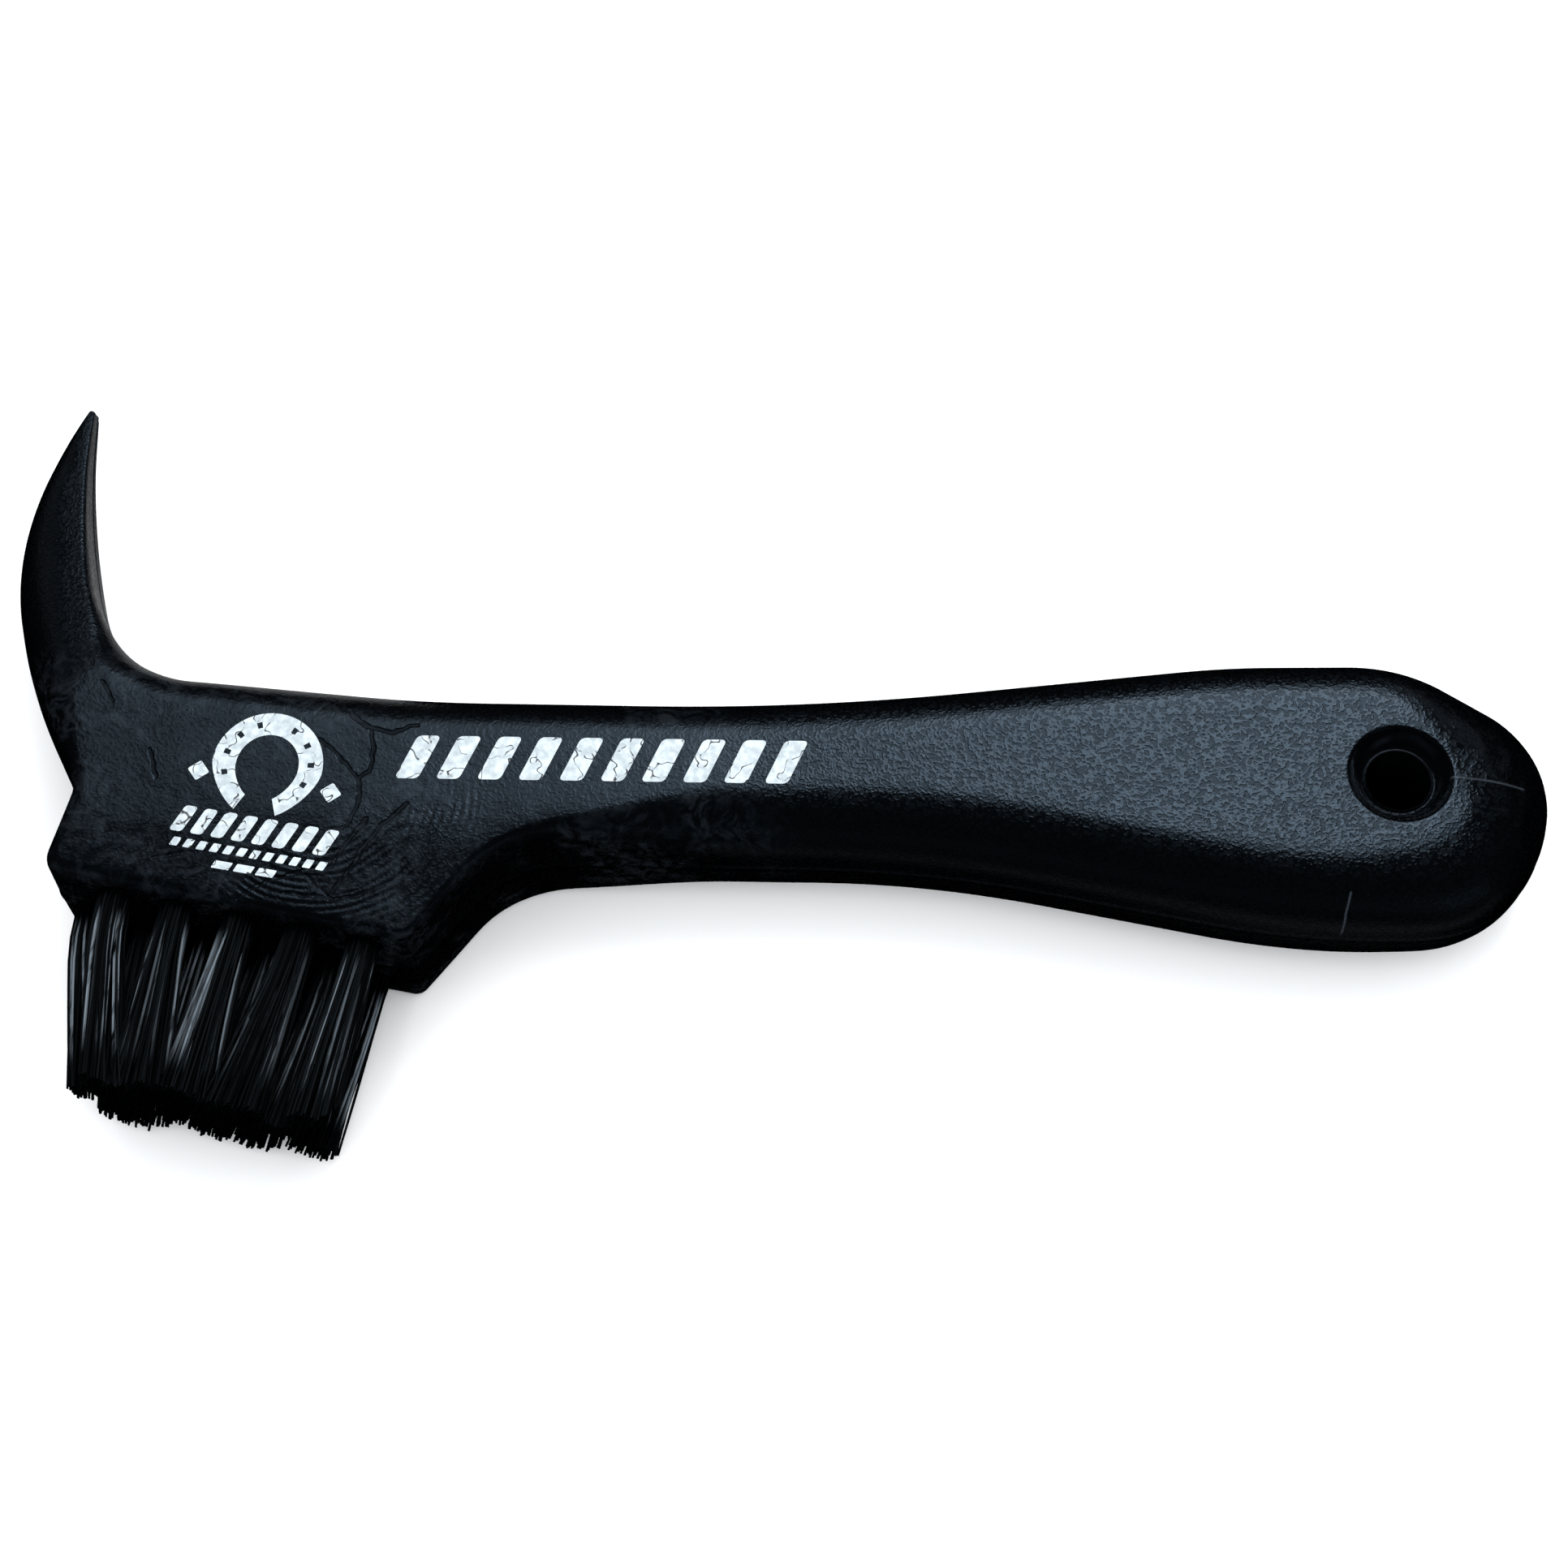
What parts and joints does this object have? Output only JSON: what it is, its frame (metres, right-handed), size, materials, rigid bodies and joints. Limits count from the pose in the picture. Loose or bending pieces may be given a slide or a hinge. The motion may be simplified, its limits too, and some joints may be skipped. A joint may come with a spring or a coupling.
{
  "type": "hoof pick",
  "caption": "Moulded hoof pick with a curved pointed hook, a short stiff brush on the head, a rounded grip and a countersunk hang hole.",
  "frame": {"origin": "middle of the underside of the whole tool's box, as it lies on its back face", "axes": "+X along the grip towards its end, +Y towards the hook's tip (the brush points to -Y), +Z through the thickness, out of the front face"},
  "size_m": [0.1703, 0.0879, 0.0175],
  "materials": {
    "body_plastic": "black moulded plastic, spark-eroded grain on the grip, smoother on the head",
    "bristle_nylon": "black nylon filament",
    "anchor_wire": "flat drawn steel wire",
    "print_ink": "white printing ink"
  },
  "bodies": {
    "root": {"body": "body_plastic", "tuft_front_1": "bristle_nylon", "tuft_front_2": "bristle_nylon", "tuft_front_3": "bristle_nylon", "tuft_front_4": "bristle_nylon", "tuft_front_5": "bristle_nylon", "tuft_middle_1": "bristle_nylon", "tuft_middle_2": "bristle_nylon", "tuft_middle_3": "bristle_nylon", "tuft_middle_4": "bristle_nylon", "tuft_middle_5": "bristle_nylon", "tuft_back_1": "bristle_nylon", "tuft_back_2": "bristle_nylon", "tuft_back_3": "bristle_nylon", "tuft_back_4": "bristle_nylon", "tuft_back_5": "bristle_nylon", "anchor_front_1": "anchor_wire", "anchor_front_2": "anchor_wire", "anchor_front_3": "anchor_wire", "anchor_front_4": "anchor_wire", "anchor_front_5": "anchor_wire", "anchor_middle_1": "anchor_wire", "anchor_middle_2": "anchor_wire", "anchor_middle_3": "anchor_wire", "anchor_middle_4": "anchor_wire", "anchor_middle_5": "anchor_wire", "anchor_back_1": "anchor_wire", "anchor_back_2": "anchor_wire", "anchor_back_3": "anchor_wire", "anchor_back_4": "anchor_wire", "anchor_back_5": "anchor_wire"}
  },
  "joints": []
}
